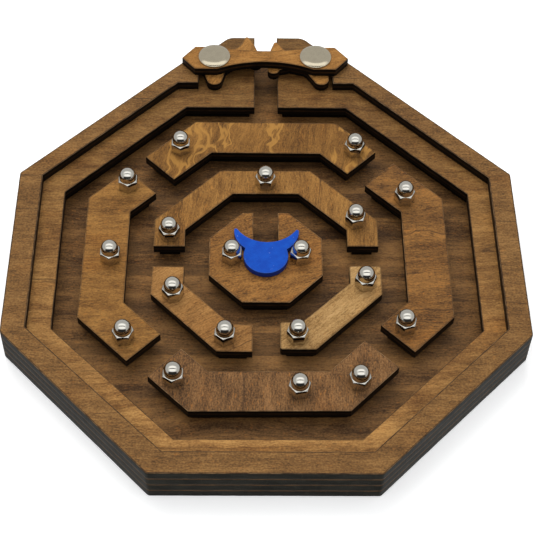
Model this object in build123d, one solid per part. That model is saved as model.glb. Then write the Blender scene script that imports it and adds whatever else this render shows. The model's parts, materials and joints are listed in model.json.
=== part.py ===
from build123d import *
from math import cos, radians, sin, sqrt
import os

# Octagonal plywood maze puzzle with a captive horned token and a two-lever exit gate.
# Millimetres. The origin is the maze's centre on the underside, +Y runs towards the exit, +Z is up.

# Layers, from the floor up: floor, spacers, deck (ring and islands), rim (and levers), bridge
PLY = 3.0
SPACER_Z = PLY
DECK_Z = 2 * PLY
RIM_Z = 3 * PLY
BRIDGE_Z = 4 * PLY
BRIDGE_TOP = 5 * PLY
GLIDE = 0.1

# Board: an octagon whose two rear diagonals run on straight into a blunt nose. It is cut a little
# unevenly, so each side has its own distance from the maze's centre, and one isn't quite square to it.
NOSE_BACK = 90.8
BOARD_SIDES = [
    (-90, 73.3), (-45, 72.85), (0, 73.35), (45, 72.7), (90, NOSE_BACK), (135, 72.7), (180, 73.9), (223.8, 73.55)
]
BOARD_ROUND = 1.5
NOSE_ROUND = 4.1
RIM_INNER = 66.9
RIM_SHIFT = (-0.15, 0.25)

# Maze: bands of islands one channel apart, given as centre-to-flat distances
CHANNEL = 7.3
UNDERCUT = 1.6
CENTRE_OUTER = 16.4
MID_WIDTH = 9.1
OUTER_WIDTH = 12.7
MID_INNER = CENTRE_OUTER + CHANNEL
MID_OUTER = MID_INNER + MID_WIDTH
OUTER_INNER = MID_OUTER + CHANNEL
OUTER_OUTER = OUTER_INNER + OUTER_WIDTH
RING_INNER = OUTER_OUTER + CHANNEL + 0.2
RING_SHIFT = -1.0
LIGHT_ISLAND_ROUND = 0.7

# Gaps in the outer band: each diagonal's direction, and how far anticlockwise of it the gap's middle lies
OUTER_GAPS = [(45, 1.45), (135, 2.7), (225, 2.35), (315, 1.45)]

# Each island was glued down by hand, so it sits a little off the layout: dx, dy and turn in degrees
ISLAND_OFFSETS = {
    "top": (-0.2, 0.05, -0.35),
    "left": (-0.45, -0.15, -0.25),
    "right": (-0.2, 0.45, 0),
    "arch": (-0.35, 0.05, 0.3),
    "lower_left": (-0.4, -0.4, -0.8),
    "lower_right": (-0.1, 0.25, -0.3),
    "front": (0.3, 0.25, 0.4),
    "centre": (-0.4, -0.1, 0),
}

# Cap nuts on each island: x, y, and the turn of the hexagon in degrees
NUTS = {
    "top": [(-26.2, 41.5, 28), (26.9, 41.0, 2)],
    "left": [(-41.5, 26.4, 30), (-45.2, -1.0, 27), (-40.0, -28.9, 3)],
    "right": [(41.1, 21.9, 0), (38.5, -25.0, 18)],
    "arch": [(-28.5, 7.6, 2), (-0.4, 27.5, 0), (26.0, 12.9, 13)],
    "lower_left": [(-26.8, -14.1, 10), (-11.9, -29.0, 22)],
    "lower_right": [(28.0, -10.0, 6), (8.3, -28.5, 5)],
    "front": [(-25.7, -42.7, 26), (8.5, -46.2, 9), (24.9, -43.5, -11)],
    "centre": [(-10.2, -0.7, 27), (9.7, -0.7, 10)],
}
NUT_FLATS = 5.5
NUT_HEX_HEIGHT = 3.8
NUT_SHOULDER = 0.45
NUT_SHOULDER_R = 2.7
NUT_DOME_R = 2.5
NUT_DOME_Z = 4.7
NUT_BORE_DEPTH = 4.2

# Countersunk screws that come up through the floor into the cap nuts
SCREW_R = 1.5
SCREW_LENGTH = 12.0
SCREW_HEAD_R = 2.75
SCREW_SUNK = 0.2
SOCKET_R = 1.16
SOCKET_DEPTH = 1.1
THREAD_GAP = 0.05
HOLE_R = 1.6

# Gate: a bridge over two levers, each turning on a binding post
GATE_X = -0.4
POST_X = 16.1
POST_Y = 75.7
POST_R = 2.5
POST_HEAD_R = 5.05
POST_HEAD_EDGE = 0.4
POST_HEAD_HEIGHT = 1.1
POST_HEAD_FLAT_R = 2.9
POST_FOOT_Z = 2.2
POST_BORE_R = 2.05
POST_BORE_DEPTH = 9.8
POST_HOLE_R = 2.6
LEVER_HOLE_R = 2.56
POST_SCREW_R = 2.0
POST_SCREW_TOP = 10.0
POST_SCREW_HEAD_R = 4.6
POST_SCREW_HEAD_Z = (0.2, 2.0)
POST_SCREW_SLOT = (1.2, 0.8)
COUNTERBORE_R = 4.9
POCKET_X = -0.15
POCKET_HALF = 21.3
BRIDGE_X = -0.3
BRIDGE_TIP = (26.4, 75.3)
BRIDGE_REAR = (22.3, 80.35)
BRIDGE_FRONT = (22.3, 70.45)
BRIDGE_REAR_DIP = 78.55
BRIDGE_ARCH_HALF = 15.2
BRIDGE_ARCH_TOP = 73.7
LEVER_HUB_R = 4.55
TAB_ROOT = (1.8, 3.7)
TAB_TIP = (6.8, 2.4)
LEFT_LEVER = {"turn": 11.4, "toe": 2.8, "tab_angle": -100.4}
RIGHT_LEVER = {"turn": 0, "toe": 4.1, "tab_angle": -105.5}

# Token: a disc with horns on top, a round stem in the channel and a flange in the undercut below
TOKEN_X = -0.4
TOKEN_Y = -1.35
TOKEN_TURN = -1.4
TOKEN_THICK = 2.1
TOKEN_DISC_R = 6.45
HORN_OUTER_R = 8.3
HORN_OUTER_X = 1.15
HORN_OUTER_Y = 9.2
HORN_INNER_R = 10.2
HORN_INNER_Y = 15.1
HORN_ROUND = 0.5
STEM_R = 3.2
FLANGE_R = 4.8
FLANGE_Z = 3.3
FLANGE_TOP = 5.6
JOIN_GAP = 0.05


def octagon(apothem):
    return RegularPolygon(apothem, 8, major_radius=False, rotation=22.5)


def slab(plan, z, height=PLY):
    return extrude(Pos(0, 0, z) * plan, height)


def rod(x, y, radius, low, high):
    return Pos(x, y, low) * Cylinder(radius, high - low, align=(Align.CENTER, Align.CENTER, Align.MIN))


def drilled(solid, places, radius):
    for x, y in places:
        solid -= rod(x, y, radius, -PLY, BRIDGE_TOP + PLY)
    return solid


def nut_places(island):
    return [(x, y) for x, y, turn in NUTS[island]]


def post_places():
    return [(GATE_X - POST_X, POST_Y), (GATE_X + POST_X, POST_Y)]


# --- Board layers ---


def crossing(one, other):
    """Where two sides meet, each given by the direction it faces in degrees and its distance."""
    (a, reach_a), (b, reach_b) = [(radians(angle), reach) for angle, reach in (one, other)]
    x = (reach_a * sin(b) - reach_b * sin(a)) / sin(b - a)
    y = (reach_b * cos(a) - reach_a * cos(b)) / sin(b - a)
    return (x, y)


def board_outline():
    neighbours = zip(BOARD_SIDES, BOARD_SIDES[1:] + BOARD_SIDES[:1])
    corners = [crossing(side, following) for side, following in neighbours]
    plan = make_face(Polyline(*corners, close=True))
    plan = fillet(plan.vertices().group_by(Axis.Y)[-1], NOSE_ROUND)
    plain = [corner for corner in plan.vertices() if corner.Y < NOSE_BACK - 2 * NOSE_ROUND]
    return fillet(plain, BOARD_ROUND)


def exit_channel(inset):
    width = CHANNEL + 2 * inset
    length = NOSE_BACK
    return Pos(0, length / 2 + MID_OUTER) * Rectangle(width, length)


def base_plate():
    plate = slab(board_outline(), 0)
    for island in NUTS:
        plate = drilled(plate, nut_places(island), HOLE_R)
        for x, y in nut_places(island):
            plate -= Pos(x, y, 0) * countersink()
    plate = drilled(plate, post_places(), POST_HOLE_R)
    for x, y in post_places():
        plate -= rod(x, y, COUNTERBORE_R, -PLY, POST_FOOT_Z)
    return plate


def countersink():
    depth = SCREW_HEAD_R + SCREW_SUNK + THREAD_GAP - HOLE_R
    return Cone(HOLE_R + depth, HOLE_R, depth, align=(Align.CENTER, Align.CENTER, Align.MIN))


def frame_spacer():
    plan = board_outline() - Pos(0, RING_SHIFT) * octagon(RING_INNER + UNDERCUT)
    plan -= exit_channel(UNDERCUT)
    return drilled(slab(plan, SPACER_Z), post_places(), POST_HOLE_R)


def ring_plate():
    plan = board_outline() - Pos(0, RING_SHIFT) * octagon(RING_INNER)
    plan -= exit_channel(0)
    return drilled(slab(plan, DECK_Z), post_places(), POST_HOLE_R)


def rim():
    pocket = Pos(POCKET_X, NOSE_BACK) * Rectangle(2 * POCKET_HALF, NOSE_BACK)
    return slab(board_outline() - Pos(*RIM_SHIFT) * octagon(RIM_INNER) - pocket, RIM_Z)


# --- Islands: each is a top plate on a spacer that is set back all round ---


def outer_band(inset):
    band = octagon(OUTER_OUTER - inset) - octagon(OUTER_INNER + inset)
    middle = (OUTER_INNER + OUTER_OUTER) / 2
    gap = Rectangle(2 * OUTER_WIDTH, CHANNEL + 2 * inset)
    for angle, along in OUTER_GAPS:
        band -= Rot(0, 0, angle) * Pos(middle, along) * gap
    return band


def mid_band(inset):
    band = octagon(MID_OUTER - inset) - octagon(MID_INNER + inset)
    gap = CHANNEL + 2 * inset
    band -= Rectangle(4 * MID_OUTER, gap)
    band -= Pos(0, -MID_OUTER) * Rectangle(gap, 2 * MID_OUTER)
    return band


def centre_block(inset):
    slot_half = CHANNEL / 2 + inset
    slot = Pos(0, TOKEN_Y) * Circle(slot_half)
    slot += Pos(0, TOKEN_Y + CENTRE_OUTER) * Rectangle(2 * slot_half, 2 * CENTRE_OUTER)
    return (octagon(CENTRE_OUTER - inset) - slot).face()


def nearest_face(plan, x, y):
    target = Vector(x, y, 0)
    return min(plan.faces(), key=lambda face: face.distance_to(target))


def nudged(plan, island):
    dx, dy, turn = ISLAND_OFFSETS[island]
    middle = plan.bounding_box().center()
    return Pos(middle.X + dx, middle.Y + dy) * Rot(0, 0, turn) * Pos(-middle.X, -middle.Y) * plan


def island_plan(island, inset):
    if island == "centre":
        return nudged(centre_block(inset), island)
    band = outer_band(inset) if island in ("top", "left", "right", "front") else mid_band(inset)
    x, y = nut_places(island)[0]
    plan = nearest_face(band, x, y)
    if island == "lower_right":
        plan = make_face(plan.edges())
        plan = fillet(plan.vertices(), LIGHT_ISLAND_ROUND)
    return nudged(plan, island)


def island_plate(island):
    return drilled(slab(island_plan(island, 0), DECK_Z), nut_places(island), HOLE_R)


def island_spacer(island):
    return drilled(slab(island_plan(island, UNDERCUT), SPACER_Z), nut_places(island), HOLE_R)


# --- Fasteners ---


def cap_nut():
    corner_r = NUT_FLATS / sqrt(3)
    hexagon = extrude(RegularPolygon(corner_r, 6), NUT_HEX_HEIGHT)
    profile = Polyline(
        (0, 0),
        (corner_r, 0),
        (corner_r, NUT_HEX_HEIGHT - NUT_SHOULDER),
        (NUT_SHOULDER_R, NUT_HEX_HEIGHT),
        (0, NUT_HEX_HEIGHT),
        close=True,
    )
    turned = revolve(Rot(90, 0, 0) * make_face(profile), Axis.Z)
    body = hexagon & turned
    body += rod(0, 0, NUT_DOME_R, 0, NUT_DOME_Z)
    body += Pos(0, 0, NUT_DOME_Z) * Sphere(NUT_DOME_R)
    body -= rod(0, 0, SCREW_R + THREAD_GAP, -PLY, NUT_BORE_DEPTH)
    return body


def cap_nuts(island):
    nut = cap_nut()
    return Compound(children=[Pos(x, y, RIM_Z) * Rot(0, 0, turn) * nut for x, y, turn in NUTS[island]])


def island_screw():
    head_height = SCREW_HEAD_R - SCREW_R
    head = Cone(SCREW_HEAD_R, SCREW_R, head_height, align=(Align.CENTER, Align.CENTER, Align.MIN))
    body = Pos(0, 0, SCREW_SUNK) * head
    body += rod(0, 0, SCREW_R, SCREW_SUNK, SCREW_SUNK + SCREW_LENGTH)
    socket = extrude(RegularPolygon(SOCKET_R, 6), SCREW_SUNK + SOCKET_DEPTH)
    return body - socket


def island_screws(island):
    screw = island_screw()
    return Compound(children=[Pos(x, y, 0) * screw for x, y in nut_places(island)])


def post_head():
    edge = (POST_HEAD_R, BRIDGE_TOP + POST_HEAD_EDGE)
    flat = (POST_HEAD_FLAT_R, BRIDGE_TOP + POST_HEAD_HEIGHT)
    outline = Polyline(edge, (POST_HEAD_R, BRIDGE_TOP), (0, BRIDGE_TOP), (0, flat[1]), flat)
    outline += TangentArc(flat, edge, tangent=(1, 0))
    return revolve(Rot(90, 0, 0) * make_face(outline), Axis.Z)


def post(place):
    body = post_head() + rod(0, 0, POST_R, POST_FOOT_Z, BRIDGE_TOP)
    body -= rod(0, 0, POST_BORE_R, 0, POST_FOOT_Z + POST_BORE_DEPTH)
    return Pos(*place) * body


def post_screw(place):
    low, high = POST_SCREW_HEAD_Z
    slot_width, slot_depth = POST_SCREW_SLOT
    body = rod(0, 0, POST_SCREW_HEAD_R, low, high)
    body += rod(0, 0, POST_SCREW_R, low, POST_SCREW_TOP)
    body -= Pos(0, 0, low) * Box(3 * POST_SCREW_HEAD_R, slot_width, 2 * slot_depth)
    return Pos(*place) * body


# --- Gate ---


def bridge():
    tip_x, tip_y = BRIDGE_TIP
    rear_x, rear_y = BRIDGE_REAR
    front_x, front_y = BRIDGE_FRONT
    arch_half = BRIDGE_ARCH_HALF
    outline = Polyline(
        (arch_half, front_y), (front_x, front_y), (tip_x, tip_y), (rear_x, rear_y), (arch_half, rear_y)
    )
    outline += ThreePointArc((arch_half, rear_y), (0, BRIDGE_REAR_DIP), (-arch_half, rear_y))
    outline += Polyline(
        (-arch_half, rear_y), (-rear_x, rear_y), (-tip_x, tip_y), (-front_x, front_y), (-arch_half, front_y)
    )
    outline += ThreePointArc((-arch_half, front_y), (0, BRIDGE_ARCH_TOP), (arch_half, front_y))
    plate = Pos(BRIDGE_X, 0, 0) * slab(make_face(outline), BRIDGE_Z)
    return drilled(plate, post_places(), POST_HOLE_R)


def polar(distance, angle):
    return (distance * cos(radians(angle)), distance * sin(radians(angle)))


def lever_claw(toe):
    # The pivot is at the origin and the claw reaches along +X, its hooked tip towards +Y. toe is how far
    # its blunt front corner reaches towards the maze, which keeps the two claws clear of each other.
    outline = Line((0, LEVER_HUB_R), (4.2, 6.0))
    outline += ThreePointArc((4.2, 6.0), (7.6, 5.6), (10.3, 7.3))
    outline += Line((10.3, 7.3), (11.8, 9.7))
    outline += ThreePointArc((11.8, 9.7), (12.6, 10.1), (13.2, 9.5))
    outline += Polyline((13.2, 9.5), (14.2, 6.6), (15.2, 1.9 - toe))
    outline += ThreePointArc((15.2, 1.9 - toe), (13.3, -toe), (11.4, 1.7 - toe))
    outline += Polyline((11.4, 1.7 - toe), (8.2, 2.6 - toe), (3.6, -2.7), (0, LEVER_HUB_R))
    return make_face(outline)


def lever_tab(angle):
    root, root_r = TAB_ROOT
    tip, tip_r = TAB_TIP
    ends = [Pos(*polar(root, angle)) * Circle(root_r), Pos(*polar(tip, angle)) * Circle(tip_r)]
    return make_hull([end.edge() for end in ends])


def lever_plan(shape):
    outline = Circle(LEVER_HUB_R) + lever_claw(shape["toe"]) + lever_tab(shape["tab_angle"])
    return Rot(0, 0, shape["turn"]) * (outline - Circle(LEVER_HOLE_R))


def lever(place):
    # The left lever is as drawn, turned a little, and the right one is drawn the other way round
    x, y = place
    plan = lever_plan(LEFT_LEVER) if x < GATE_X else mirror(lever_plan(RIGHT_LEVER), Plane.YZ)
    return slab(Pos(x, y) * plan, RIM_Z + GLIDE, PLY - 2 * GLIDE)


# --- Token ---


def token_plan():
    horns = Pos(0, HORN_OUTER_Y) * Rectangle(2 * HORN_OUTER_X, 2 * HORN_OUTER_R)
    for x in (-HORN_OUTER_X, HORN_OUTER_X):
        horns += Pos(x, HORN_OUTER_Y) * Circle(HORN_OUTER_R)
    plan = horns + Circle(TOKEN_DISC_R) - Pos(0, HORN_INNER_Y) * Circle(HORN_INNER_R)
    tips = plan.vertices().group_by(Axis.Y)[-1]
    return fillet(tips, HORN_ROUND)


def token_head():
    plan = Pos(TOKEN_X, TOKEN_Y) * Rot(0, 0, TOKEN_TURN) * token_plan()
    return slab(plan, RIM_Z + GLIDE, TOKEN_THICK)


def token_stem():
    return rod(TOKEN_X, TOKEN_Y, STEM_R, FLANGE_TOP + JOIN_GAP, RIM_Z + GLIDE)


def token_flange():
    return rod(TOKEN_X, TOKEN_Y, FLANGE_R, FLANGE_Z, FLANGE_TOP)


def all_nodes():
    nodes = {
        "base_plate": base_plate(),
        "frame_spacer": frame_spacer(),
        "ring_plate": ring_plate(),
        "rim": rim(),
        "gate_bridge": bridge(),
        "token_head": token_head(),
        "token_stem": token_stem(),
        "token_flange": token_flange(),
    }
    for side, place in zip(("left", "right"), post_places()):
        nodes[side + "_gate_lever"] = lever(place)
        nodes[side + "_gate_post"] = post(place)
        nodes[side + "_post_screw"] = post_screw(place)
    for island in NUTS:
        nodes[island + "_island"] = island_plate(island)
        nodes[island + "_island_spacer"] = island_spacer(island)
        nodes[island + "_cap_nuts"] = cap_nuts(island)
        nodes[island + "_screws"] = island_screws(island)
    return nodes


os.makedirs("parts", exist_ok=True)
for name, shape in all_nodes().items():
    export_step(shape, f"parts/{name}.step")
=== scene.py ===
import json
import math

import bmesh
import bpy
from mathutils import Matrix, Vector, noise
from mathutils.geometry import tessellate_polygon


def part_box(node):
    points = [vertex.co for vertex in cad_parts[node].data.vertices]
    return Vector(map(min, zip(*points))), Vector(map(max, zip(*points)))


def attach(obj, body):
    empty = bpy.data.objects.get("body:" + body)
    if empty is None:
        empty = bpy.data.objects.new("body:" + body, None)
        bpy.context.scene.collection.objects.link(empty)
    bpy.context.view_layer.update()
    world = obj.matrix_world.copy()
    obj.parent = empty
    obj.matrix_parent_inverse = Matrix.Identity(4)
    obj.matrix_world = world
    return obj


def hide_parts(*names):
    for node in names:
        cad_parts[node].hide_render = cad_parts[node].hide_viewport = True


# Looks of the octagonal token maze: stained plywood with charred edges, nickel cap nuts and a
# painted token. Metres, in the part's own frame: +Y runs towards the gate and +Z is up.

MM = 0.001
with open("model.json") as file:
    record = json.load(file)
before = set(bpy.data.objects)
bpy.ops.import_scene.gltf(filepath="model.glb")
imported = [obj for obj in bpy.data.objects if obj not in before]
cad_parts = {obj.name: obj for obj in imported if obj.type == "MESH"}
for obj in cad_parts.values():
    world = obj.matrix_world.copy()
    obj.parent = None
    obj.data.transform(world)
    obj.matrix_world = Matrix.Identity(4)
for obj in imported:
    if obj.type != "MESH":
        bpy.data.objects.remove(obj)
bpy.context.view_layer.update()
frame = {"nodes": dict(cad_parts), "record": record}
record = frame["record"]
nodes = frame["nodes"]
body_of = {node: body for body, names in record["behaviour"]["bodies"].items() for node in names}

ISLANDS = ("top", "left", "right", "arch", "lower_left", "lower_right", "front", "centre")
SAME_POINT = 2e-6
FRESH_WOOD_SLANT = 0.37

# --- Node graphs ---


def srgb(red, green, blue):
    """A colour given as 0 to 255 on a screen, as the linear colour that shaders take."""
    shares = [c / 255 for c in (red, green, blue)]
    return (*(v / 12.92 if v <= 0.04045 else ((v + 0.055) / 1.055) ** 2.4 for v in shares), 1.0)


class Graph:
    """Short calls for building one material's nodes."""

    def __init__(self, name):
        self.material = bpy.data.materials.new(name)
        self.material.use_nodes = True
        self.tree = self.material.node_tree
        self.tree.nodes.clear()
        self.coords = self.add("ShaderNodeTexCoord")

    def add(self, kind, inputs=None, **settings):
        node = self.tree.nodes.new(kind)
        for key, value in settings.items():
            setattr(node, key, value)
        for key, value in (inputs or {}).items():
            self.feed(node.inputs[key], value)
        return node

    def feed(self, socket, value):
        if isinstance(value, bpy.types.NodeSocket):
            self.tree.links.new(value, socket)
        else:
            socket.default_value = value

    def math(self, operation, a, b=0.0, c=0.0):
        node = self.add("ShaderNodeMath", operation=operation)
        for socket, value in zip(node.inputs, (a, b, c)):
            self.feed(socket, value)
        return node.outputs[0]

    def split(self, vector):
        return self.add("ShaderNodeSeparateXYZ", {0: vector}).outputs

    def join(self, x, y, z):
        return self.add("ShaderNodeCombineXYZ", {0: x, 1: y, 2: z}).outputs[0]

    def span(self, value, low, high, out_low=0.0, out_high=1.0):
        """value, taken smoothly from low..high to out_low..out_high and held there outside it."""
        node = self.add("ShaderNodeMapRange", interpolation_type="SMOOTHSTEP")
        for socket, number in zip(node.inputs, (value, low, high, out_low, out_high)):
            self.feed(socket, number)
        return node.outputs[0]

    def ramp(self, value, stops):
        node = self.add("ShaderNodeValToRGB", {0: value})
        elements = node.color_ramp.elements
        while len(elements) < len(stops):
            elements.new(0.5)
        for element, (position, colour) in zip(elements, stops):
            element.position = position
            element.color = colour
        return node.outputs[0]

    def mix(self, share, a, b, blend="MIX"):
        node = self.add("ShaderNodeMix", data_type="RGBA", blend_type=blend)
        for socket, value in ((node.inputs[0], share), (node.inputs[6], a), (node.inputs[7], b)):
            self.feed(socket, value)
        return node.outputs[2]

    def scaled(self, vector, scale):
        node = self.add("ShaderNodeVectorMath", {0: vector, 1: scale}, operation="MULTIPLY")
        return node.outputs[0]

    def noise(self, vector, detail=3.0, roughness=0.55, distortion=0.0):
        inputs = {"Vector": vector, "Scale": 1.0, "Detail": detail}
        inputs |= {"Roughness": roughness, "Distortion": distortion}
        return self.add("ShaderNodeTexNoise", inputs).outputs[0]

    def object_mm(self, turn=0.0, shift=0.0):
        """Object coordinates in millimetres, turned to put the grain on X. shift moves them to
        another stretch of the noise, so that no two plates look the same."""
        inputs = {
            "Vector": self.coords.outputs["Object"],
            "Location": (shift, shift * FRESH_WOOD_SLANT, 0.0),
            "Rotation": (0.0, 0.0, -math.radians(turn)),
            "Scale": (1 / MM, 1 / MM, 1 / MM),
        }
        return self.add("ShaderNodeMapping", inputs).outputs[0]

    def finish(self, height=None, depth=0.0, **sockets):
        """Ends in one Principled shader. height is a bump of that depth in metres."""
        shader = self.add("ShaderNodeBsdfPrincipled")
        for key, value in sockets.items():
            self.feed(shader.inputs[key.replace("_", " ")], value)
        if height is not None:
            inputs = {"Height": height, "Distance": depth, "Strength": 1.0}
            bump = self.add("ShaderNodeBump", inputs)
            self.feed(shader.inputs["Normal"], bump.outputs[0])
        output = self.add("ShaderNodeOutputMaterial")
        self.tree.links.new(shader.outputs[0], output.inputs[0])
        return self.material


# --- Wood ---

# A noise is 0 to 1 and mostly near 0.5, and span() turns one stretch of it into a share of a mix.
# How fast each kind of figure changes, per millimetre along the grain, across it and in depth:
WANDER = (0.018, 0.05, 0.05)
WAVE = (0.10, 0.10, 0.1)
BANDS = (0.008, 0.16, 0.05)
FIBRES = (0.13, 1.15, 0.6)
FINE_FIBRES = (0.55, 3.2, 2.0)
MOTTLE = (0.16, 0.24, 0.2)
DASHES = (0.55, 2.1, 1.0)
SPECKLES = (1.6, 2.2, 2.0)
HUES = (0.035, 0.09, 0.05)
HAIRLINES = (0.004, 0.30, 0.0)
FLAMES = (0.05, 0.17, 0.05)
FEATHERS = (0.25, 1.3, 0.5)
RUBBING = (0.35, 0.35, 0.35)

# How far each kind moves the stain from dark (0) to light (1)
BAND_PULL = 1.5
FIBRE_PULL = 0.95
FINE_PULL = 1.0
MOTTLE_PULL = 0.8

# How far, in millimetres, the grain strays sideways
WANDER_REACH = 9.0
WAVE_REACH = 7.0
FLAME_REACH = 9.0

WARM_STAIN = srgb(255, 226, 178)
COOL_STAIN = srgb(214, 206, 204)
DARK_FLECK = srgb(52, 33, 20)
ORANGE_FLECK = srgb(188, 118, 48)
HAIRLINE = srgb(48, 32, 20)
SCORCHED = srgb(30, 19, 11)
RUBBED_WOOD = srgb(176, 140, 98)
BURNT_EDGE = srgb(24, 18, 14)

FRESH_WOOD = 317.0
FADE_REACH = (-70.0, 88.0)
VENEER_BUMP = 0.09 * MM
WALL_BUMP = 0.08 * MM
PAINT_BUMP = 0.06 * MM
POLISH_BUMP = 0.0003 * MM
PLATING_BUMP = 0.01 * MM


def veneer(
    name, tones, grain, seed, bands=1.0, figure=0.0, fleck=0.5, streak=None, wear=0.35,
    scorch=0.45, grit=0.8, fade=None,
):
    """The stained face of birch ply. tones are dark, middle and light; grain is its direction in
    degrees. bands is how strongly broad stripes show, figure how wavy they are, grit how speckled
    the stain is, and streak a pale flame's colour. scorch is how dark the laser has left the
    hairline along each cut edge, and wear how pale the rubbed edges are. fade makes the colour
    lighter towards the board's front and darker towards its back, by these two factors."""
    g = Graph(name)
    dark, middle, light = (srgb(*tone) for tone in tones)
    place = g.object_mm(grain, seed * FRESH_WOOD)
    x, y, z = g.split(place)

    wander = g.noise(g.scaled(place, WANDER), 2.0)
    wave = g.noise(g.scaled(place, WAVE), 2.0)
    across = g.math("MULTIPLY_ADD", wander, WANDER_REACH, y)
    across = g.math("MULTIPLY_ADD", wave, WAVE_REACH * figure, across)
    grain_place = g.join(x, across, z)

    band = g.noise(g.scaled(grain_place, BANDS), 3.0, 0.5)
    fibre = g.noise(g.scaled(grain_place, FIBRES), 4.0, 0.62)
    fine = g.noise(g.scaled(grain_place, FINE_FIBRES), 3.0, 0.7)
    mottle = g.noise(g.scaled(place, MOTTLE), 3.0, 0.6)
    dash = g.noise(g.scaled(grain_place, DASHES), 1.0, 0.5)
    speckle = g.noise(g.scaled(place, SPECKLES), 1.0, 0.6)

    tone = 0.5
    for layer, pull in (
        (band, BAND_PULL * bands), (fibre, FIBRE_PULL), (fine, FINE_PULL),
        (mottle, MOTTLE_PULL), (speckle, grit),
    ):
        tone = g.math("MULTIPLY_ADD", g.math("SUBTRACT", layer, 0.5), pull, tone)
    colour = g.ramp(tone, [(0.12, dark), (0.5, middle), (0.88, light)])

    # The stain is warmer in some places and greyer in others
    hue = g.noise(g.scaled(place, HUES), 3.0)
    warm = g.span(hue, 0.5, 0.75, 0.0, 0.35)
    cool = g.span(hue, 0.5, 0.28, 0.0, 0.35)
    colour = g.mix(warm, colour, g.mix(1.0, colour, WARM_STAIN, "MULTIPLY"))
    colour = g.mix(cool, colour, g.mix(1.0, colour, COOL_STAIN, "MULTIPLY"))
    # The colour is scaled from lighter at the front to darker at the back, along Y
    if fade:
        along = g.add("ShaderNodeMapRange", interpolation_type="LINEAR")
        numbers = (g.split(g.object_mm())[1], *FADE_REACH, *fade)
        for socket, value in zip(along.inputs, numbers):
            g.feed(socket, value)
        gain = g.join(along.outputs[0], along.outputs[0], along.outputs[0])
        colour = g.mix(1.0, colour, gain, "MULTIPLY")

    # Short dark flecks and orange ones, and now and then a hair-thin line across the piece
    dark_fleck = g.span(dash, 0.60, 0.74, 0.0, fleck)
    colour = g.mix(dark_fleck, colour, DARK_FLECK)
    warm_fleck = g.span(dash, 0.38, 0.26, 0.0, fleck * 0.6)
    colour = g.mix(warm_fleck, colour, ORANGE_FLECK)
    line = g.noise(g.scaled(grain_place, HAIRLINES), 0.0)
    near_line = g.math("ABSOLUTE", g.math("SUBTRACT", line, 0.62))
    dark_line = g.span(near_line, 0.006, 0.001, 0.0, 0.55)
    colour = g.mix(dark_line, colour, HAIRLINE)
    if streak:
        bent = g.join(x, g.math("MULTIPLY_ADD", wave, FLAME_REACH, y), z)
        colour = flamed(g, colour, srgb(*streak), bent)

    colour = edge_worn(g, colour, place, mottle, wear, scorch)
    height = g.math("MULTIPLY", fine, 0.6)
    height = g.math("MULTIPLY_ADD", dark_fleck, -0.8, g.math("ADD", fibre, height))
    roughness = g.math("MULTIPLY_ADD", fibre, 0.22, 0.44)
    return g.finish(
        height=height, depth=VENEER_BUMP, Base_Color=colour, Roughness=roughness,
        Specular_IOR_Level=0.22,
    )


def flamed(g, colour, streak, bent):
    """Pale feathered flames, along one level of a broad noise."""
    flame = g.noise(g.scaled(bent, FLAMES), 2.0, 0.5, 0.5)
    feather = g.noise(g.scaled(bent, FEATHERS), 3.0, 0.6)
    crest = g.math("MULTIPLY_ADD", g.math("SUBTRACT", feather, 0.5), 0.12, flame)
    near_crest = g.math("ABSOLUTE", g.math("SUBTRACT", crest, 0.56))
    return g.mix(g.span(near_crest, 0.05, 0.012, 0.0, 0.75), colour, streak)


def edge_worn(g, colour, place, mottle, wear, scorch):
    """The upper edges are rubbed back to paler wood in places, and scorched just behind that."""
    near_edge = g.add("ShaderNodeAttribute", attribute_name="scorch").outputs["Fac"]
    blotchy = g.span(mottle, 0.30, 0.55, 0.55, 1.0)
    burnt = g.math("MULTIPLY", g.span(near_edge, 0.15, 0.95), blotchy)
    colour = g.mix(g.math("MULTIPLY", burnt, scorch), colour, SCORCHED)
    normal_z = g.split(g.coords.outputs["Normal"])[2]
    rubbed = g.math("MULTIPLY", g.span(normal_z, 0.995, 0.93), g.span(normal_z, 0.25, 0.6))
    patchy = g.span(g.noise(g.scaled(place, RUBBING), 3.0), 0.38, 0.62, 0.15, 1.0)
    rubbed = g.math("MULTIPLY", rubbed, patchy)
    colour = g.mix(g.math("MULTIPLY", rubbed, wear), colour, RUBBED_WOOD)
    return g.mix(g.span(normal_z, 0.35, 0.05), colour, BURNT_EDGE)


def cut_wall(name, char, ply, layers, strength):
    """A laser-cut wall: three tones of char, which for the near-black walls also paint their shade,
    with the paler long-grain plies at the given heights and half thicknesses in millimetres."""
    g = Graph(name)
    place = g.object_mm()
    z = g.split(place)[2]
    sway = g.noise(g.scaled(place, (0.09, 0.09, 0.3)), 2.0)
    level = g.math("MULTIPLY_ADD", g.math("SUBTRACT", sway, 0.5), 0.28, z)
    soot = g.noise(g.scaled(place, (1.1, 1.1, 0.35)), 4.0, 0.65)
    patch = g.noise(g.scaled(place, (0.12, 0.12, 0.4)), 3.0)
    colour = g.mix(g.span(patch, 0.3, 0.7), srgb(*char[0]), srgb(*char[1]))
    colour = g.mix(g.span(soot, 0.50, 0.78, 0.0, 0.55), colour, srgb(*char[2]))
    lines = 0.0
    for height, half in layers:
        gap = g.math("ABSOLUTE", g.math("SUBTRACT", level, height))
        lines = g.math("MAXIMUM", lines, g.span(gap, half, half * 0.35))
    chips = g.noise(g.scaled(place, (0.22, 0.22, 1.2)), 4.0, 0.7)
    lines = g.math("MULTIPLY", lines, g.span(chips, 0.36, 0.60, 0.25, 1.0))
    colour = g.mix(g.math("MULTIPLY", lines, strength), colour, srgb(*ply))
    kerf = g.noise(g.scaled(place, (4.0, 4.0, 0.25)), 2.0)
    roughness = g.math("MULTIPLY_ADD", soot, 0.25, 0.45)
    return g.finish(
        height=g.math("ADD", kerf, soot), depth=WALL_BUMP, Base_Color=colour,
        Roughness=roughness, Specular_IOR_Level=0.15,
    )


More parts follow.
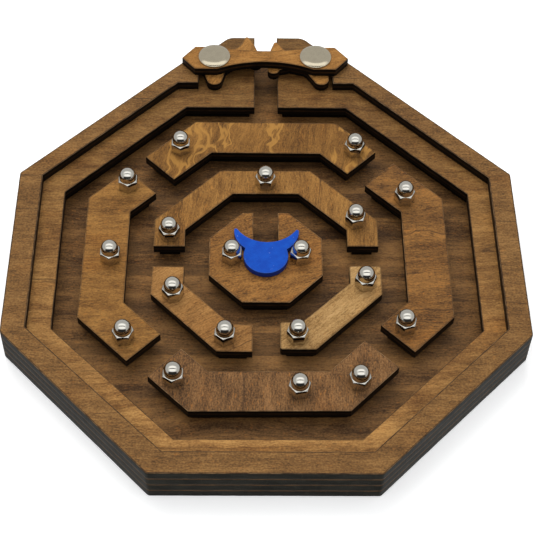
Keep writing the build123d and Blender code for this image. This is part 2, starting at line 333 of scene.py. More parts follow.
# Dark, middle and light tone of the stain on each plate
FLOOR_TONES = ((66, 43, 21), (110, 78, 44), (140, 101, 58))
RING_TONES = ((92, 60, 28), (132, 94, 50), (166, 124, 70))
RIM_TONES = ((86, 59, 30), (122, 87, 47), (150, 111, 64))
WARM_TONES = ((94, 62, 26), (136, 95, 46), (166, 121, 62))
TOP_TONES = ((84, 54, 22), (122, 84, 38), (150, 106, 52))
RIGHT_TONES = ((76, 48, 22), (122, 84, 42), (156, 108, 54))
FRONT_TONES = ((76, 52, 30), (116, 82, 48), (146, 106, 66))
LOWER_LEFT_TONES = ((108, 72, 34), (152, 108, 58), (178, 132, 76))
CENTRE_TONES = ((84, 54, 24), (132, 90, 44), (162, 114, 58))
PALE_TONES = ((132, 98, 54), (176, 138, 86), (198, 160, 108))
GATE_TONES = ((104, 70, 30), (150, 104, 50), (174, 126, 66))
HIDDEN_TONES = ((36, 24, 13), (58, 40, 23), (80, 57, 33))
FLAME = (176, 128, 62)

# The height and half thickness, in millimetres, of the paler layers that show in each cut wall
PLY = (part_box("rim")[1].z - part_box("rim")[0].z) / MM
UNDER_PLY = [(1.5 * PLY, 0.4)]
DECK_PLY = [(2.5 * PLY, 0.42)]
RIM_PLY = [(3.5 * PLY, 0.42)]
BRIDGE_PLY = [(4.5 * PLY, 0.42)]
BOARD_JOINTS = [(PLY, 0.45), (2 * PLY, 0.45), (3 * PLY, 0.45)]

# Char in three tones, and the ply's own colour where it shows through
# Painted shade: this near-black is the laser's char darkened further, to stand in for the shade in
# the undercuts and at the foot of the walls
CHAR_AND_SHADE_BLACK = ((4, 3, 2), (10, 7, 5), (24, 16, 10))
GREY_CHAR = ((36, 36, 31), (48, 47, 41), (64, 61, 52))
OUTER_PLY_TONE = (98, 70, 42)
BRIDGE_PLY_TONE = (84, 56, 30)
DARK_PLY_TONE = (70, 46, 26)
HIDDEN_PLY_TONE = (44, 30, 19)

WOODS = {
    "base_plate": veneer("veneer_floor", FLOOR_TONES, 1.0, 1, fleck=0.45),
    "ring_plate": veneer(
        "veneer_ring", RING_TONES, 1.5, 2,
        bands=0.8, figure=0.35, fleck=0.35, scorch=0.9, fade=(1.3, 0.58),
    ),
    "rim": veneer(
        "veneer_rim", RIM_TONES, -1.0, 3,
        bands=0.35, fleck=0.35, scorch=0.9, grit=1.2, fade=(1.0, 0.9),
    ),
    "frame_spacer": veneer("veneer_hidden", HIDDEN_TONES, 0.0, 4),
    "gate_bridge": veneer("veneer_bridge", GATE_TONES, 4.0, 5, bands=0.5, fleck=0.25, wear=0.2),
    "left_gate_lever": veneer(
        "veneer_left_lever", GATE_TONES, 62.0, 6, bands=0.6, fleck=0.25, wear=0.2
    ),
    "right_gate_lever": veneer(
        "veneer_right_lever", GATE_TONES, 20.0, 7, bands=0.6, fleck=0.25, wear=0.2
    ),
    "top_island": veneer(
        "veneer_top", TOP_TONES, 78.0, 8, bands=0.6, figure=0.5, fleck=0.3, streak=FLAME
    ),
    "left_island": veneer("veneer_left", WARM_TONES, 2.0, 9, bands=0.6),
    "right_island": veneer(
        "veneer_right", RIGHT_TONES, 4.0, 10, bands=0.7, figure=0.6, fleck=0.65
    ),
    "arch_island": veneer(
        "veneer_arch", WARM_TONES, 86.0, 11, bands=0.7, figure=0.2, fleck=0.45
    ),
    "lower_left_island": veneer(
        "veneer_lower_left", LOWER_LEFT_TONES, 32.0, 12, bands=0.5, figure=0.3, fleck=0.3
    ),
    "lower_right_island": veneer(
        "veneer_lower_right", PALE_TONES, 44.0, 13, bands=0.7, fleck=0.3, wear=0.2
    ),
    "front_island": veneer(
        "veneer_front", FRONT_TONES, 88.0, 14, bands=0.4, fleck=0.6, wear=0.7, grit=1.2
    ),
    "centre_island": veneer(
        "veneer_centre", CENTRE_TONES, 20.0, 15,
        bands=0.3, figure=0.8, fleck=0.6, wear=0.6, grit=1.1,
    ),
}
WALLS = {
    "outer": cut_wall("char_board_side", GREY_CHAR, OUTER_PLY_TONE, BOARD_JOINTS, 0.85),
    # Painted shade: these four walls take the near-black char, which also paints the shade under
    # and beside them
    "deck": cut_wall("char_and_shade_deck", CHAR_AND_SHADE_BLACK, DARK_PLY_TONE, DECK_PLY, 0.45),
    "rim": cut_wall("char_and_shade_rim", CHAR_AND_SHADE_BLACK, DARK_PLY_TONE, RIM_PLY, 0.4),
    "bridge": cut_wall("char_and_shade_bridge", CHAR_AND_SHADE_BLACK, BRIDGE_PLY_TONE, BRIDGE_PLY, 0.5),
    "under": cut_wall("char_and_shade_under", CHAR_AND_SHADE_BLACK, HIDDEN_PLY_TONE, UNDER_PLY, 0.3),
}

# --- Metal and paint ---


def metal(name, colour, roughness, spread, scratch, scratch_depth):
    """Metal with faint smudges that spread its roughness, and scratches of a scale and depth."""
    g = Graph(name)
    place = g.object_mm()
    smudge = g.noise(g.scaled(place, (0.5, 0.5, 0.5)), 4.0, 0.6)
    scratches = g.noise(g.scaled(place, scratch), 3.0, 0.6)
    dulled = srgb(*[round(c * 0.97) for c in colour])
    tint = g.mix(g.span(smudge, 0.35, 0.7), srgb(*colour), dulled)
    rough = g.math("MULTIPLY_ADD", smudge, spread, roughness - spread / 2)
    return g.finish(
        height=scratches, depth=scratch_depth, Base_Color=tint, Metallic=1.0, Roughness=rough
    )


PAINT_DEEP = srgb(4, 66, 170)
PAINT_BRIGHT = srgb(8, 78, 184)
PAINT_GRAIN = srgb(16, 90, 194)
PAINT_SPECK = srgb(120, 140, 210)
PAINT_EDGE = srgb(84, 128, 226)
PAINT_SIDE = srgb(3, 44, 132)


def blue_paint():
    """Thin blue paint: the grain shows through it, and it is paler on the edges."""
    g = Graph("blue_paint")
    place = g.object_mm(28.0, 91.0)
    grain = g.noise(g.scaled(place, (0.35, 2.6, 1.0)), 4.0, 0.6)
    cloud = g.noise(g.scaled(place, (0.35, 0.35, 0.35)), 3.0)
    peel = g.noise(g.scaled(place, (2.4, 2.4, 2.4)), 3.0)
    colour = g.mix(g.span(cloud, 0.3, 0.7), PAINT_DEEP, PAINT_BRIGHT)
    colour = g.mix(g.span(grain, 0.52, 0.72, 0.0, 0.3), colour, PAINT_GRAIN)
    speck = g.noise(g.scaled(place, (1.3, 1.3, 1.3)), 1.0)
    colour = g.mix(g.span(speck, 0.74, 0.80, 0.0, 0.6), colour, PAINT_SPECK)
    normal_z = g.split(g.coords.outputs["Normal"])[2]
    edge = g.math("MULTIPLY", g.span(normal_z, 0.99, 0.8), g.span(normal_z, 0.2, 0.5))
    colour = g.mix(g.math("MULTIPLY", edge, 0.35), colour, PAINT_EDGE)
    colour = g.mix(g.span(normal_z, 0.4, 0.1), colour, PAINT_SIDE)
    height = g.math("MULTIPLY_ADD", grain, 0.6, peel)
    return g.finish(
        height=height, depth=PAINT_BUMP, Base_Color=colour, Roughness=0.55,
        Specular_IOR_Level=0.25,
    )


def dowel():
    g = Graph("dowel_wood")
    fibre = g.noise(g.scaled(g.object_mm(), (2.2, 2.2, 0.25)), 4.0, 0.6)
    tones = [(0.25, srgb(112, 78, 44)), (0.5, srgb(150, 112, 68)), (0.8, srgb(182, 144, 96))]
    return g.finish(
        height=fibre, depth=WALL_BUMP, Base_Color=g.ramp(fibre, tones), Roughness=0.6
    )


NICKEL = metal(
    "polished_nickel", (202, 198, 188), roughness=0.07, spread=0.06,
    scratch=(3.0, 3.0, 12.0), scratch_depth=POLISH_BUMP,
)
SATIN = metal(
    "satin_nickel", (195, 184, 160), roughness=0.16, spread=0.03,
    scratch=(14.0, 2.0, 2.0), scratch_depth=POLISH_BUMP,
)
ZINC = metal(
    "zinc_steel", (182, 184, 186), roughness=0.34, spread=0.16,
    scratch=(5.0, 5.0, 9.0), scratch_depth=PLATING_BUMP,
)
BLUE = blue_paint()
DOWEL = dowel()

# --- Plates: each is rebuilt from its CAD outline, with rounded and slightly uneven cut edges ---

STEP = 2.0 * MM
SCORCH_WIDTH = 0.3 * MM
EDGE_TURN = math.cos(math.radians(20.0))
FACES_UP = 0.99
SAME_HEIGHT = 0.01 * MM
LONGEST_MITRE = 0.4
WEAR_LENGTH = 4.0 * MM
WOBBLE_LENGTH = 1.5 * MM
UNEVEN_WEAR = 0.6
UPRIGHT_SHARE = 0.4
SEED_GAP = 7.3


def cad_mesh(node):
    """The node's mesh as a new bmesh with its faces joined up."""
    mesh = bmesh.new()
    mesh.from_mesh(nodes[node].data)
    bmesh.ops.remove_doubles(mesh, verts=mesh.verts, dist=SAME_POINT)
    return mesh


def top_edges(mesh):
    """From each vertex on the rim of the mesh's top face to the next one, as a dictionary."""
    mesh.normal_update()
    top = max(v.co.z for v in mesh.verts)
    region = {
        f.index for f in mesh.faces
        if f.normal.z > FACES_UP and top - f.calc_center_median().z < SAME_HEIGHT
    }
    after = {}
    for face in mesh.faces:
        if face.index in region:
            for loop in face.loops:
                others = [f for f in loop.edge.link_faces if f.index != face.index]
                if not any(f.index in region for f in others):
                    after[loop.vert.index] = loop.link_loop_next.vert.index
    return after


def face_outlines(node):
    """The outlines of a plate's top face as (points, is_corner) pairs, with the wood on their
    left."""
    mesh = cad_mesh(node)
    after = top_edges(mesh)
    spots = {v.index: v.co.xy.copy() for v in mesh.verts}
    mesh.free()
    outlines = []
    while after:
        start = min(after, key=lambda i: (round(spots[i].x, 6), round(spots[i].y, 6)))
        chain, here = [], start
        while here in after:
            chain.append(spots[here])
            here = after.pop(here)
        outlines.append(resample(chain))
    return outlines


def resample(chain):
    """The outline with no gap over STEP, and which of its points are sharp corners."""
    points, corners = [], []
    for i, point in enumerate(chain):
        before, following = chain[i - 1], chain[(i + 1) % len(chain)]
        turn = (point - before).normalized().dot((following - point).normalized())
        points.append(point)
        corners.append(turn < EDGE_TURN)
        pieces = math.ceil((following - point).length / STEP)
        for k in range(1, pieces):
            points.append(point.lerp(following, k / pieces))
            corners.append(False)
    return points, corners


def inward(points):
    """At each point of an outline, the mitred step that moves both its edges into the wood by 1."""
    steps = []
    for i, point in enumerate(points):
        following = points[(i + 1) % len(points)]
        along = [(point - points[i - 1]).normalized(), (following - point).normalized()]
        a, b = (Vector((-d.y, d.x)) for d in along)
        steps.append((a + b) / max(1 + a.dot(b), LONGEST_MITRE))
    return steps


def unevenness(point, z, seed, size):
    """A noise between -1 and 1 with features of about the given size, another one for each seed.
    It changes more slowly up a wall than along it."""
    return noise.noise(
        Vector((point.x / size, point.y / size, z / size * UPRIGHT_SHARE + seed * SEED_GAP))
    )


def rounded(low, high, upper, lower):
    """(inset, height, part of the profile) rings from the top face to the bottom one."""
    rings = []
    for degrees in (0, 30, 60, 90):
        a = math.radians(degrees)
        rings.append((upper * (1 - math.sin(a)), high - upper * (1 - math.cos(a)), "top"))
    for share in (0.33, 0.66):
        rings.append((0.0, high + (low - high) * share, "wall"))
    rings += [(0.0, low + lower, "wall"), (lower, low, "wall")]
    return rings


def cap(verts, loops, faces_up):
    """Triangles that fill the face between rings of vertices, all facing up or all down."""
    order = [i for loop in loops for i in loop]
    flat = [[Vector((verts[i].x, verts[i].y, 0)) for i in loop] for loop in loops]
    for triangle in tessellate_polygon(flat):
        corner = [order[i] for i in triangle]
        a, b, c = (verts[i] for i in corner)
        upward = (b - a).cross(c - a).z > 0
        yield tuple(corner if upward == faces_up else corner[::-1])


def solid_plate(
    name, node, face, wall, upper, lower, wobble=0.0, seed=0, funnel=None, outside=None
):
    """Builds a plate over its CAD node. upper and lower are the rounding of its edges. funnel may
    give another profile for an outline, by its size. outside is the material of the walls on the
    board's own outline, and wall that of all the others."""
    low, high = (corner.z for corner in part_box(node))
    verts, faces, looks, sharp, scorch = [], [], [], [], []
    tops, bottoms = [], []
    for points, corners in face_outlines(node):
        size = max(p.x for p in points) - min(p.x for p in points)
        rings = funnel(size) if funnel else None
        if not rings:
            rings = [(upper + SCORCH_WIDTH, high, "flat")] + rounded(low, high, upper, lower)
        steps = inward(points)
        count = len(points)
        rows = []
        for inset, z, part in rings:
            row = []
            for point, step in zip(points, steps):
                worn = 1
                if part == "top":
                    worn += UNEVEN_WEAR * unevenness(point, 0, seed + 3, WEAR_LENGTH)
                shift = inset * worn + wobble * unevenness(point, z, seed, WOBBLE_LENGTH)
                row.append(len(verts))
                verts.append(Vector((*(point + step * shift), z)))
                scorch.append(0.0 if part == "flat" else 1.0)
            rows.append((row, part))
        for (upper_row, _), (lower_row, below) in zip(rows, rows[1:]):
            for i in range(count):
                j = (i + 1) % count
                faces.append((upper_row[i], lower_row[i], lower_row[j], upper_row[j]))
                middle = points[i].lerp(points[j], 0.5)
                side = 2 if outside and on_board_outline(middle) else 1
                looks.append(0 if below == "top" else side)
        for i, corner in enumerate(corners):
            if corner:
                sharp += [(a[0][i], b[0][i]) for a, b in zip(rows, rows[1:])]
        tops.append(rows[0][0])
        bottoms.append(rows[-1][0])
    flats = len(faces)
    faces += [*cap(verts, tops, True), *cap(verts, bottoms, False)]
    looks += [0] * (len(faces) - flats)
    mesh = bpy.data.meshes.new(name)
    mesh.from_pydata(verts, [], faces)
    for material in (face, wall, outside) if outside else (face, wall):
        mesh.materials.append(material)
    mesh.polygons.foreach_set("material_index", looks)
    mesh.polygons.foreach_set("use_smooth", [i < flats for i in range(len(faces))])
    mesh.attributes.new("scorch", "FLOAT", "POINT").data.foreach_set("value", scorch)
    sharp_pairs = {tuple(sorted(pair)) for pair in sharp}
    for edge in mesh.edges:
        edge.use_edge_sharp = tuple(sorted(edge.vertices)) in sharp_pairs
    return place(mesh, name, node)


def place(mesh, name, node):
    """Puts a finished mesh in the scene in place of its CAD node, on that node's body."""
    mesh.update()
    piece = bpy.data.objects.new(name, mesh)
    bpy.context.scene.collection.objects.link(piece)
    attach(piece, body_of[node])
    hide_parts(node)
    return piece


WORN = 0.20 * MM
CRISP = 0.05 * MM
WOBBLE = 0.035 * MM
PAINTED = 0.22 * MM
DISC_EDGE = 0.25 * MM
BOARD_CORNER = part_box("base_plate")[1]
OUTLINE_SLACK = 2.0 * MM
NOSE_SLACK = 0.6 * MM
FLOOR_LOW, FLOOR_HIGH = (corner.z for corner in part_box("base_plate"))
SCREW_HOLE_LIMIT = 4.0 * MM
POST_HOLE_LIMIT = 6.0 * MM
COUNTERSINK_DEPTH = 1.4 * MM
COUNTERBORE_STEP = 2.3 * MM
COUNTERBORE_TOP = 2.2 * MM


def on_board_outline(point):
    """Whether a point of an outline is on the board's own: an octagon with a nose at the back."""
    diagonal = (abs(point.x) + abs(point.y)) / math.sqrt(2)
    reach = max(abs(point.x), -point.y, diagonal)
    return reach > BOARD_CORNER.x - OUTLINE_SLACK or point.y > BOARD_CORNER.y - NOSE_SLACK


def floor_funnel(size):
    """The floor's holes: a countersink under each cap nut, a counterbore under each gate post."""
    if size < SCREW_HOLE_LIMIT:
        rings = (
            (0.0, FLOOR_HIGH), (0.0, FLOOR_LOW + COUNTERSINK_DEPTH),
            (COUNTERSINK_DEPTH, FLOOR_LOW),
        )
    elif size < POST_HOLE_LIMIT:
        rings = (
            (0.0, FLOOR_HIGH), (0.0, COUNTERBORE_TOP), (COUNTERBORE_STEP, COUNTERBORE_TOP),
            (COUNTERBORE_STEP, FLOOR_LOW),
        )
    else:
        return None
    return [(wider, z, "wall") for wider, z in rings]


def board_layer(name, node, wall, upper, lower, seed, funnel=None):
    face, side = WOODS[node], WALLS[wall]
    solid_plate(name, node, face, side, upper, lower, WOBBLE, seed, funnel, WALLS["outer"])


board_layer("floor_ply", "base_plate", "under", CRISP, WORN, 1, floor_funnel)
board_layer("frame_spacer_ply", "frame_spacer", "under", CRISP, CRISP, 2)
board_layer("ring_ply", "ring_plate", "deck", CRISP * 2, CRISP, 3)
board_layer("rim_ply", "rim", "rim", WORN, CRISP, 4)
for seed, island in enumerate(ISLANDS, 10):
    node = island + "_island"
    solid_plate(node + "_ply", node, WOODS[node], WALLS["deck"], WORN, CRISP, WOBBLE, seed)
    node += "_spacer"
    wood = WOODS["frame_spacer"]
    solid_plate(node + "_ply", node, wood, WALLS["under"], CRISP, CRISP, WOBBLE, seed)
for name, node, wall, lower, seed in (
    ("bridge_ply", "gate_bridge", "bridge", CRISP * 2, 30),
    ("left_gate_lever_ply", "left_gate_lever", "rim", CRISP, 31),
    ("right_gate_lever_ply", "right_gate_lever", "rim", CRISP, 32),
):
    solid_plate(name, node, WOODS[node], WALLS[wall], WORN, lower, WOBBLE, seed)
solid_plate("token_plate", "token_head", BLUE, BLUE, PAINTED, CRISP * 2)
solid_plate("token_dowel", "token_stem", DOWEL, DOWEL, CRISP, CRISP)
solid_plate("token_disc", "token_flange", DOWEL, DOWEL, DISC_EDGE, DISC_EDGE)

# --- Turned metal: profiles swept round an axis, whose radius may follow a hexagon ---

NUT_FLATS = 5.5 * MM
NUT_HEIGHT = 3.8 * MM
NUT_FACE_R = 2.66 * MM
NUT_CHAMFER = math.tan(math.radians(40.0))
NUT_FOOT = 0.16 * MM
NUT_FOOT_HEIGHT = 0.10 * MM
NUT_MIDDLE = 1.6 * MM
NUT_EDGE = 0.05 * MM
NUT_EDGE_BEND = 0.6
NUT_BULGE = 0.03 * MM
NUT_SIDE_PARTS = 10
DOME_R = 2.5 * MM
DOME_Z = 4.7 * MM
DOME_FILLET = 0.10 * MM
DOME_FILLET_LIFT = 0.01 * MM
DOME_STEP = 6
BORE_R = 1.55 * MM
BORE_DEPTH = 4.2 * MM
BORE_MOUTH = 0.25 * MM
CORNER_SOFTNESS = math.radians(1.3)
SIXTH = math.radians(60)
SHARP_TURN = math.radians(38.0)


def hexagon_radius(angle, flats):
    """The distance from a hexagon's middle to its edge. One corner lies at angle 0."""
    from_flat = (angle % SIXTH) - SIXTH / 2
    return flats / 2 / math.cos(from_flat)


def hexagon_angles(per_flat):
    """Angles round a hexagon, with a pair close together at each corner, which softens it."""
    angles = []
    for corner in range(6):
        start = SIXTH * corner + CORNER_SOFTNESS
        end = SIXTH * (corner + 1) - CORNER_SOFTNESS
        angles += [start + (end - start) * k / per_flat for k in range(per_flat + 1)]
    return angles


def swept(mesh, rings, angles, turn, centre, base_z):
    """Adds a closed turned solid to a bmesh. Each ring gives (radius, height) from an angle, and
    the first and last are points on the axis."""
    rows = []
    for k, ring in enumerate(rings):
        if k in (0, len(rings) - 1):
            tip = mesh.verts.new((centre.x, centre.y, base_z + ring(0)[1]))
            rows.append([tip] * len(angles))
            continue
        row = []
        for angle in angles:
            radius, z = ring(angle)
            x = centre.x + radius * math.cos(angle + turn)
            y = centre.y + radius * math.sin(angle + turn)
            row.append(mesh.verts.new((x, y, base_z + z)))
        rows.append(row)
    for a, b in zip(rows, rows[1:]):
        for i in range(len(angles)):
            j = (i + 1) % len(angles)
            corners = []
            for vert in (a[i], a[j], b[j], b[i]):
                if vert not in corners:
                    corners.append(vert)
            mesh.faces.new(corners)


def steady(radius, z):
    """A ring of a profile that is a true circle."""
    return lambda angle: (radius, z)


def turned_piece(name, node, material, build):
    """One piece for all the like solids of a CAD node. build adds one of them at its centre, turn
    and base."""
    mesh = bmesh.new()
    for centre, turn, base in solid_places(node):
        build(mesh, centre, turn, base)
    bmesh.ops.recalc_face_normals(mesh, faces=mesh.faces)
    data = bpy.data.meshes.new(name)
    mesh.to_mesh(data)
    mesh.free()
    data.materials.append(material)
    data.polygons.foreach_set("use_smooth", [True] * len(data.polygons))
    data.set_sharp_from_angle(angle=SHARP_TURN)
    return place(data, name, node)


def solid_places(node):
    """(centre, turn of its widest point, lowest height) of each separate solid in a CAD node."""
    mesh = cad_mesh(node)
    left, places = set(mesh.verts), []
    for vert in list(mesh.verts):
        if vert not in left:
            continue
        found, front = {vert}, [vert]
        while front:
            for edge in front.pop().link_edges:
                for other in edge.verts:
                    if other not in found:
                        found.add(other)
                        front.append(other)
        left -= found
        spots = [v.co.copy() for v in found]
        low, high = (Vector(f(s[i] for s in spots) for i in range(3)) for f in (min, max))
        centre = (low + high) / 2
        widest = max(round((s - centre).xy.length, 6) for s in spots)
        turns = [
            math.atan2(s.y - centre.y, s.x - centre.x) % SIXTH
            for s in spots
            if (s - centre).xy.length > widest - SAME_POINT
        ]
        places.append((centre, min(turns), low.z))
    mesh.free()
    return sorted(places, key=lambda p: (round(p[0].x, 5), round(p[0].y, 5)))


def nut(mesh, centre, turn, base):
    """A cap nut: a chamfered hexagon with a blind bore, and a dome on a short neck."""

    def hexagon(angle):
        return hexagon_radius(angle, NUT_FLATS)

    def shoulder(angle):
        return NUT_HEIGHT - (hexagon(angle) - NUT_FACE_R) * NUT_CHAMFER

    rise = NUT_EDGE * NUT_CHAMFER * NUT_EDGE_BEND
    rings = [
        steady(0, BORE_DEPTH), steady(BORE_R, BORE_DEPTH),
        steady(BORE_R, BORE_MOUTH), steady(BORE_R + BORE_MOUTH, 0),
        lambda angle: (hexagon(angle) - NUT_FOOT, 0.0),
        lambda angle: (hexagon(angle), NUT_FOOT_HEIGHT),
        lambda angle: (hexagon(angle), NUT_MIDDLE),
        lambda angle: (hexagon(angle), shoulder(angle) - NUT_EDGE),
        lambda angle: (hexagon(angle) - NUT_EDGE, shoulder(angle) + rise),
        lambda angle: (
            (hexagon(angle) + NUT_FACE_R) / 2, (shoulder(angle) + NUT_HEIGHT) / 2 + NUT_BULGE
        ),
        steady(NUT_FACE_R, NUT_HEIGHT),
        steady(DOME_R + DOME_FILLET * 0.6, NUT_HEIGHT + DOME_FILLET_LIFT),
        steady(DOME_R, NUT_HEIGHT + DOME_FILLET),
        steady(DOME_R, (NUT_HEIGHT + DOME_Z) / 2),
        steady(DOME_R, DOME_Z),
    ]
    for degrees in range(DOME_STEP, 90, DOME_STEP):
        a = math.radians(degrees)
        rings.append(steady(DOME_R * math.cos(a), DOME_Z + DOME_R * math.sin(a)))
    rings.append(steady(0, DOME_Z + DOME_R))
    swept(mesh, rings, hexagon_angles(NUT_SIDE_PARTS), turn, centre, base)


SCREW_R = 1.5 * MM
SCREW_HEAD_R = 2.75 * MM
SCREW_HEAD_EDGE = 0.10 * MM
SCREW_HEAD_BEVEL = 0.12 * MM
SCREW_LENGTH = 12.0 * MM
SOCKET_FLATS = 2.0 * MM
SOCKET_DEPTH = 1.1 * MM
SOCKET_TIP = 0.3 * MM
SOCKET_BEVEL = 0.10 * MM
THREAD_START = 5.0 * MM
THREAD_PITCH = 0.5 * MM
THREAD_DEPTH = 0.14 * MM
THREAD_SPARE = 0.4 * MM
SCREW_TIP = 0.1 * MM
SCREW_SIDE_PARTS = 3


def screw(mesh, centre, turn, base):
    """A countersunk socket screw, head down, with its threads as rings from the nut's end."""

    def socket(angle):
        return hexagon_radius(angle, SOCKET_FLATS)

    neck = SCREW_HEAD_R - SCREW_R + SCREW_HEAD_EDGE
    root = SCREW_R - THREAD_DEPTH
    rings = [
        steady(0, SOCKET_DEPTH + SOCKET_TIP),
        lambda angle: (socket(angle), SOCKET_DEPTH),
        lambda angle: (socket(angle), SOCKET_BEVEL * 0.8),
        lambda angle: (socket(angle) + SOCKET_BEVEL, 0.0),
        steady(SCREW_HEAD_R - SCREW_HEAD_BEVEL, 0.0),
        steady(SCREW_HEAD_R, SCREW_HEAD_EDGE), steady(SCREW_R, neck),
    ]
    for k in range(int((SCREW_LENGTH - THREAD_START - THREAD_SPARE) / THREAD_PITCH)):
        z = THREAD_START + k * THREAD_PITCH
        rings += [steady(SCREW_R, z), steady(root, z + THREAD_PITCH / 2)]
    rings += [
        steady(root, SCREW_LENGTH - SCREW_TIP), steady(root - THREAD_DEPTH, SCREW_LENGTH),
        steady(0, SCREW_LENGTH),
    ]
    swept(mesh, rings, hexagon_angles(SCREW_SIDE_PARTS), turn, centre, base)


POST_R = 2.5 * MM
POST_BORE_R = 2.05 * MM
POST_BORE_DEPTH = 9.8 * MM
POST_BORE_TIP = 0.5 * MM
POST_HEAD_R = 5.05 * MM
POST_HEAD_EDGE = 0.4 * MM
POST_HEAD_FLAT_R = 2.9 * MM
POST_BEVEL = 0.12 * MM
POST_SIDES = 96
SHOULDER_SHARES = (0.97, 0.9, 0.8, 0.65, 0.5, 0.35, 0.2, 0.08, 0.0)


def post(mesh, centre, turn, base):
    """A binding post: a bored barrel under a thin head whose shoulder is rounded over a wide
    band. It is round, so its turn isn't used."""
    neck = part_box("gate_bridge")[1].z - base
    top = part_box("left_gate_post")[1].z - base
    drop = top - neck - POST_HEAD_EDGE
    run = POST_HEAD_R - POST_HEAD_FLAT_R
    bend = (run ** 2 + drop ** 2) / (2 * drop)
    sweep = math.asin(run / bend)
    rings = [
        steady(0, POST_BORE_DEPTH + POST_BORE_TIP),
        steady(POST_BORE_R, POST_BORE_DEPTH), steady(POST_BORE_R, POST_BEVEL),
        steady(POST_BORE_R + POST_BEVEL, 0), steady(POST_R - POST_BEVEL, 0),
        steady(POST_R, POST_BEVEL), steady(POST_R, neck),
        steady(POST_HEAD_R - POST_BEVEL, neck), steady(POST_HEAD_R, neck + POST_BEVEL),
        steady(POST_HEAD_R, neck + POST_HEAD_EDGE - POST_BEVEL),
    ]
    for share in SHOULDER_SHARES:
        a = sweep * share
        radius = POST_HEAD_FLAT_R + bend * math.sin(a)
        rings.append(steady(radius, top - bend * (1 - math.cos(a))))
    rings += [steady(POST_HEAD_FLAT_R / 2, top), steady(0, top)]
    angles = [math.tau * k / POST_SIDES for k in range(POST_SIDES)]
    swept(mesh, rings, angles, 0.0, centre, base)


for island in ISLANDS:
    turned_piece(island + "_dome_nuts", island + "_cap_nuts", NICKEL, nut)
    turned_piece(island + "_socket_screws", island + "_screws", ZINC, screw)
for side in ("left", "right"):
    turned_piece(side + "_binding_post", side + "_gate_post", SATIN, post)
    for slot in nodes[side + "_post_screw"].material_slots:
        slot.material = ZINC

# --- Floor, light and camera ---

TABLE_GLOW = 0.42
TABLE_HALF = 3.0
TABLE_DROP = 0.2 * MM


def studio_floor():
    """A light table, so that the board's shadow on it stays faint."""
    g = Graph("studio_floor")
    grain = g.noise(g.scaled(g.object_mm(), (0.05, 0.05, 0.05)), 3.0)
    material = g.finish(
        Base_Color=g.mix(grain, srgb(238, 238, 238), srgb(242, 242, 242)), Roughness=0.9,
        Specular_IOR_Level=0.1, Emission_Color=srgb(255, 255, 255), Emission_Strength=TABLE_GLOW,
    )
    mesh = bpy.data.meshes.new("studio_floor")
    corners = [(x * TABLE_HALF, y * TABLE_HALF, 0) for x, y in ((-1, -1), (1, -1), (1, 1), (-1, 1))]
    mesh.from_pydata(corners, [], [(0, 1, 2, 3)])
    mesh.materials.append(material)
    floor = bpy.data.objects.new("studio_floor", mesh)
    floor.location.z = -TABLE_DROP
    bpy.context.scene.collection.objects.link(floor)
    floor.visible_glossy = False


def softbox(name, location, size, watts, tint=(1.0, 1.0, 1.0)):
    """A rectangular light that faces the middle of the board and isn't seen itself."""
    light = bpy.data.lights.new(name, "AREA")
    light.shape = "RECTANGLE"
    light.size, light.size_y = size
    light.energy = watts
    light.color = tint
    lamp = bpy.data.objects.new(name, light)
    lamp.location = location
    lamp.rotation_mode = "QUATERNION"
    lamp.rotation_quaternion = (-Vector(location)).to_track_quat("-Z", "Y")
    lamp.visible_camera = False
    lamp.visible_glossy = False
    bpy.context.scene.collection.objects.link(lamp)


# The tent: how bright it and its ceiling are, and how much more of it metal and gloss mirror.
# Rise is the angle up from the front horizon and over the top, in radians. Sideways is how far a
# direction points to either side, and frontal how squarely it points to the front, from 0 to 1.
TENT_LEVEL = 0.52
CEILING_LEVEL = 1.25
MIRRORED_GAIN = 1.28
DARKENING = 0.95
TENT_TINT = (0.98, 0.99, 1.0, 1.0)
WHITE = (1.0, 1.0, 1.0, 1.0)
DARK_FRONTAL = (0.50, 0.74)
DARK_RISE = (0.62, 0.52)
CEILING_FRONT = (0.62, 0.74)
CEILING_BACK = (2.06, 1.86)
CEILING_SIDES = (0.92, 0.45)
SEAM_RISE = math.radians(77)
SEAM_WIDTH = (0.12, 0.06)
SEAM_SIDES = (0.72, 0.55)


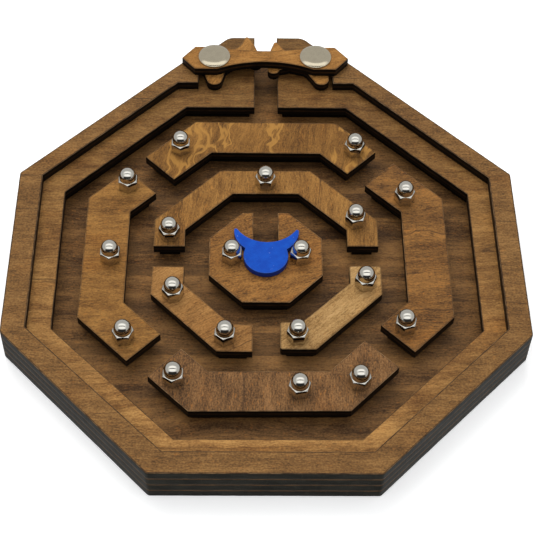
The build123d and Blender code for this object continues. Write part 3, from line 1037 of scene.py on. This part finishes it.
def light_tent():
    """A grey tent with a bright ceiling that a dark seam crosses, and a dark low front. The
    camera sees plain white in its place."""
    world = bpy.data.worlds.new("light_tent")
    bpy.context.scene.world = world
    world.use_nodes = True
    tree = world.node_tree
    tree.nodes.clear()

    def add(kind, inputs=None, **settings):
        node = tree.nodes.new(kind)
        for key, value in settings.items():
            setattr(node, key, value)
        for key, value in (inputs or {}).items():
            if isinstance(value, bpy.types.NodeSocket):
                tree.links.new(value, node.inputs[key])
            else:
                node.inputs[key].default_value = value
        return node

    def calc(operation, a, b=0.0):
        return add("ShaderNodeMath", {0: a, 1: b}, operation=operation).outputs[0]

    def share(value, ends):
        """From 0 to 1 as value goes from the first end to the second."""
        inputs = {0: value, 1: ends[0], 2: ends[1], 3: 0, 4: 1}
        return add("ShaderNodeMapRange", inputs, interpolation_type="SMOOTHSTEP").outputs[0]

    direction = add("ShaderNodeTexCoord").outputs["Generated"]
    x, y, z = add("ShaderNodeSeparateXYZ", {0: direction}).outputs
    forward = calc("MULTIPLY", y, -1.0)
    level_run = calc("SQRT", calc("ADD", calc("MULTIPLY", x, x), calc("MULTIPLY", y, y)))
    frontal = calc("DIVIDE", forward, calc("MAXIMUM", level_run, 0.001))
    rise = calc("ARCTAN2", z, forward)
    sideways = calc("ABSOLUTE", x)
    dark = calc("MULTIPLY", share(frontal, DARK_FRONTAL), share(rise, DARK_RISE))
    ceiling = calc("MULTIPLY", share(rise, CEILING_FRONT), share(rise, CEILING_BACK))
    ceiling = calc("MULTIPLY", ceiling, share(sideways, CEILING_SIDES))
    off_seam = calc("ABSOLUTE", calc("SUBTRACT", rise, SEAM_RISE))
    seam = calc("MULTIPLY", share(off_seam, SEAM_WIDTH), share(sideways, SEAM_SIDES))
    lit = calc("ADD", TENT_LEVEL, calc("MULTIPLY", CEILING_LEVEL - TENT_LEVEL, ceiling))
    dimmed = calc("MULTIPLY", calc("MAXIMUM", dark, seam), DARKENING)
    level = calc("MULTIPLY", lit, calc("SUBTRACT", 1.0, dimmed))
    path = add("ShaderNodeLightPath").outputs
    gain = calc("MULTIPLY", path["Is Glossy Ray"], MIRRORED_GAIN - 1.0)
    level = calc("MULTIPLY", level, calc("ADD", 1.0, gain))
    tent = add("ShaderNodeBackground", {"Color": TENT_TINT, "Strength": level}).outputs[0]
    backdrop = add("ShaderNodeBackground", {"Color": WHITE, "Strength": 1.0}).outputs[0]
    shown = add("ShaderNodeMixShader", {0: path["Is Camera Ray"], 1: tent, 2: backdrop})
    add("ShaderNodeOutputWorld", {0: shown.outputs[0]})


# The camera looks at a point on the top of the rim, from a distance in metres and at angles in
# degrees: round from the front, up from the table, and tilted about its own axis
TARGET = Vector((-0.00027, -0.0061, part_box("rim")[1].z))
DISTANCE = 0.4113
AZIMUTH, ELEVATION, ROLL = (math.radians(a) for a in (-1.45, 52.44, 1.46))
LENS = 97.3


def camera():
    level, rise = math.cos(ELEVATION), math.sin(ELEVATION)
    back = Vector((math.sin(AZIMUTH) * level, -math.cos(AZIMUTH) * level, rise))
    right = Vector((math.cos(AZIMUTH), math.sin(AZIMUTH), 0))
    up = back.cross(right)
    across = right * math.cos(ROLL) + up * math.sin(ROLL)
    upright = up * math.cos(ROLL) - right * math.sin(ROLL)
    data = bpy.data.cameras.new("camera")
    data.lens = LENS
    data.clip_start, data.clip_end = 0.01, 20.0
    eye = bpy.data.objects.new("camera", data)
    columns = Matrix((across, upright, back)).transposed().to_4x4()
    eye.matrix_world = Matrix.Translation(TARGET + back * DISTANCE) @ columns
    bpy.context.scene.collection.objects.link(eye)
    bpy.context.scene.camera = eye


studio_floor()
light_tent()
softbox(
    "key_softbox", location=(-0.12, 0.48, 0.78), size=(0.75, 0.45), watts=4.7,
    tint=(1.0, 0.985, 0.96),
)
softbox("fill_softbox", location=(0.25, -0.75, 0.55), size=(0.9, 0.5), watts=0.3)
camera()
bpy.context.scene.view_settings.view_transform = "Standard"
